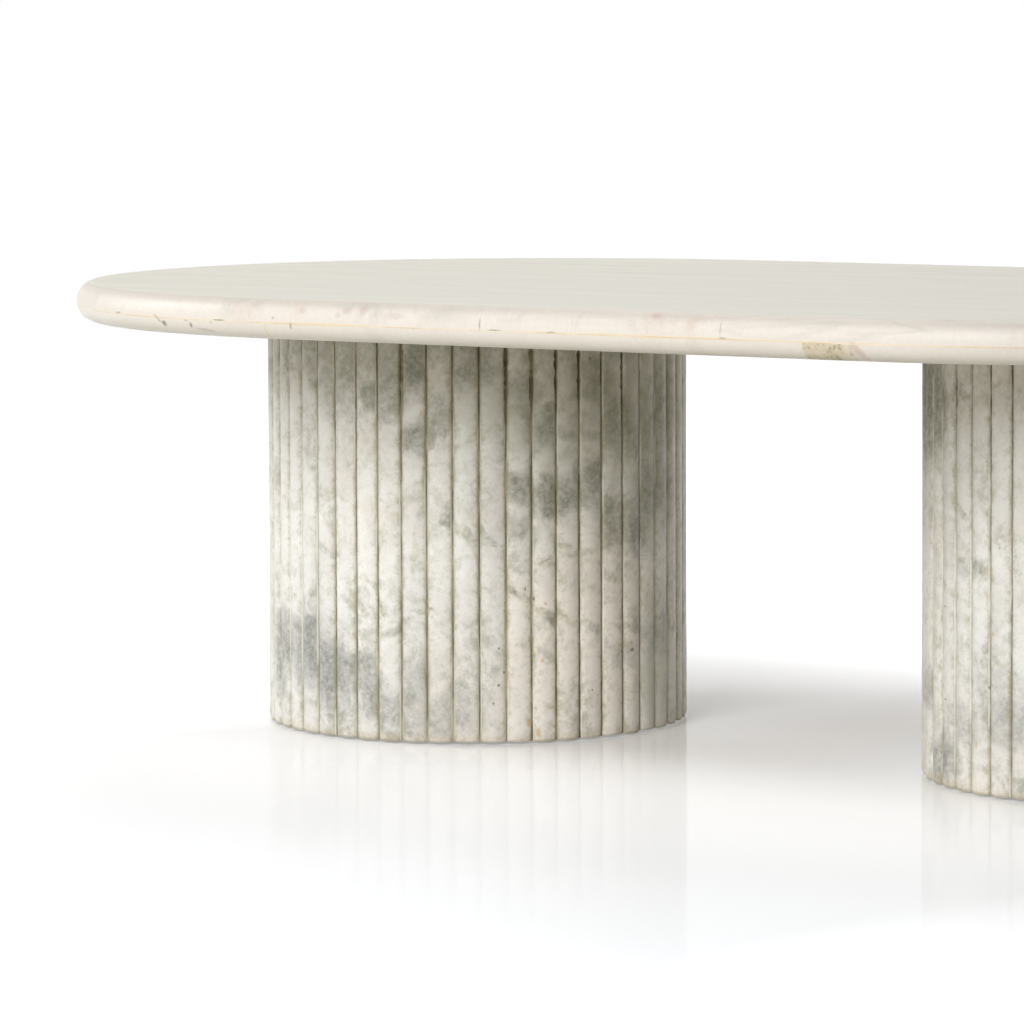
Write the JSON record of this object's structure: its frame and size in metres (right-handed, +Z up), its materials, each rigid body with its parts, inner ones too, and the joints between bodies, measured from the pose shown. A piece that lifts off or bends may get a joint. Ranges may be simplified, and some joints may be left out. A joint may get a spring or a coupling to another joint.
{
  "type": "coffee table",
  "caption": "Racetrack marble coffee table with a rounded edge on two reeded marble drums with levelling glides.",
  "frame": {"origin": "on the floor under the middle of the top, at the undersides of the glides", "axes": "+X along the top from the left drum to the right drum, +Y to the back, +Z up"},
  "size_m": [1.5238, 0.914, 0.446],
  "materials": {
    "marble_top": "polished cream marble",
    "marble_reed": "honed white marble with grey-green veins",
    "resin": "tan stone adhesive",
    "grout": "olive-brown joint filler",
    "plywood": "unfinished birch plywood",
    "steel": "zinc plated",
    "nylon": "black nylon"
  },
  "bodies": {
    "table": {"top_slab": "marble_top", "bond_layer": "resin", "edge_joint_resin": "resin", "backing_board": "plywood", "top_inserts": "steel", "edge_strip_front": "marble_top", "edge_strip_right_front": "marble_top", "edge_strip_right_back": "marble_top", "edge_strip_back": "marble_top", "edge_strip_left_back": "marble_top", "edge_strip_left_front": "marble_top", "left_reeds": "marble_reed", "left_reed_grout": "grout", "left_core_tube": "plywood", "left_upper_former": "plywood", "left_lower_former": "plywood", "left_top_bolts": "steel", "left_top_washers": "steel", "left_glide_inserts": "steel", "right_reeds": "marble_reed", "right_reed_grout": "grout", "right_core_tube": "plywood", "right_upper_former": "plywood", "right_lower_former": "plywood", "right_top_bolts": "steel", "right_top_washers": "steel", "right_glide_inserts": "steel"},
    "left_glide_right": {"left_glide_base_right": "nylon", "left_glide_stem_right": "steel"},
    "left_glide_back": {"left_glide_base_back": "nylon", "left_glide_stem_back": "steel"},
    "left_glide_left": {"left_glide_base_left": "nylon", "left_glide_stem_left": "steel"},
    "left_glide_front": {"left_glide_base_front": "nylon", "left_glide_stem_front": "steel"},
    "right_glide_right": {"right_glide_base_right": "nylon", "right_glide_stem_right": "steel"},
    "right_glide_back": {"right_glide_base_back": "nylon", "right_glide_stem_back": "steel"},
    "right_glide_left": {"right_glide_base_left": "nylon", "right_glide_stem_left": "steel"},
    "right_glide_front": {"right_glide_base_front": "nylon", "right_glide_stem_front": "steel"}
  },
  "joints": [
    {"name": "left_glide_right_screw", "type": "slide", "parent": "table", "child": "left_glide_right", "axis": [0, 0, -1], "range_m": [0, 0.01]},
    {"name": "left_glide_back_screw", "type": "slide", "parent": "table", "child": "left_glide_back", "axis": [0, 0, -1], "range_m": [0, 0.01]},
    {"name": "left_glide_left_screw", "type": "slide", "parent": "table", "child": "left_glide_left", "axis": [0, 0, -1], "range_m": [0, 0.01]},
    {"name": "left_glide_front_screw", "type": "slide", "parent": "table", "child": "left_glide_front", "axis": [0, 0, -1], "range_m": [0, 0.01]},
    {"name": "right_glide_right_screw", "type": "slide", "parent": "table", "child": "right_glide_right", "axis": [0, 0, -1], "range_m": [0, 0.01]},
    {"name": "right_glide_back_screw", "type": "slide", "parent": "table", "child": "right_glide_back", "axis": [0, 0, -1], "range_m": [0, 0.01]},
    {"name": "right_glide_left_screw", "type": "slide", "parent": "table", "child": "right_glide_left", "axis": [0, 0, -1], "range_m": [0, 0.01]},
    {"name": "right_glide_front_screw", "type": "slide", "parent": "table", "child": "right_glide_front", "axis": [0, 0, -1], "range_m": [0, 0.01]}
  ]
}
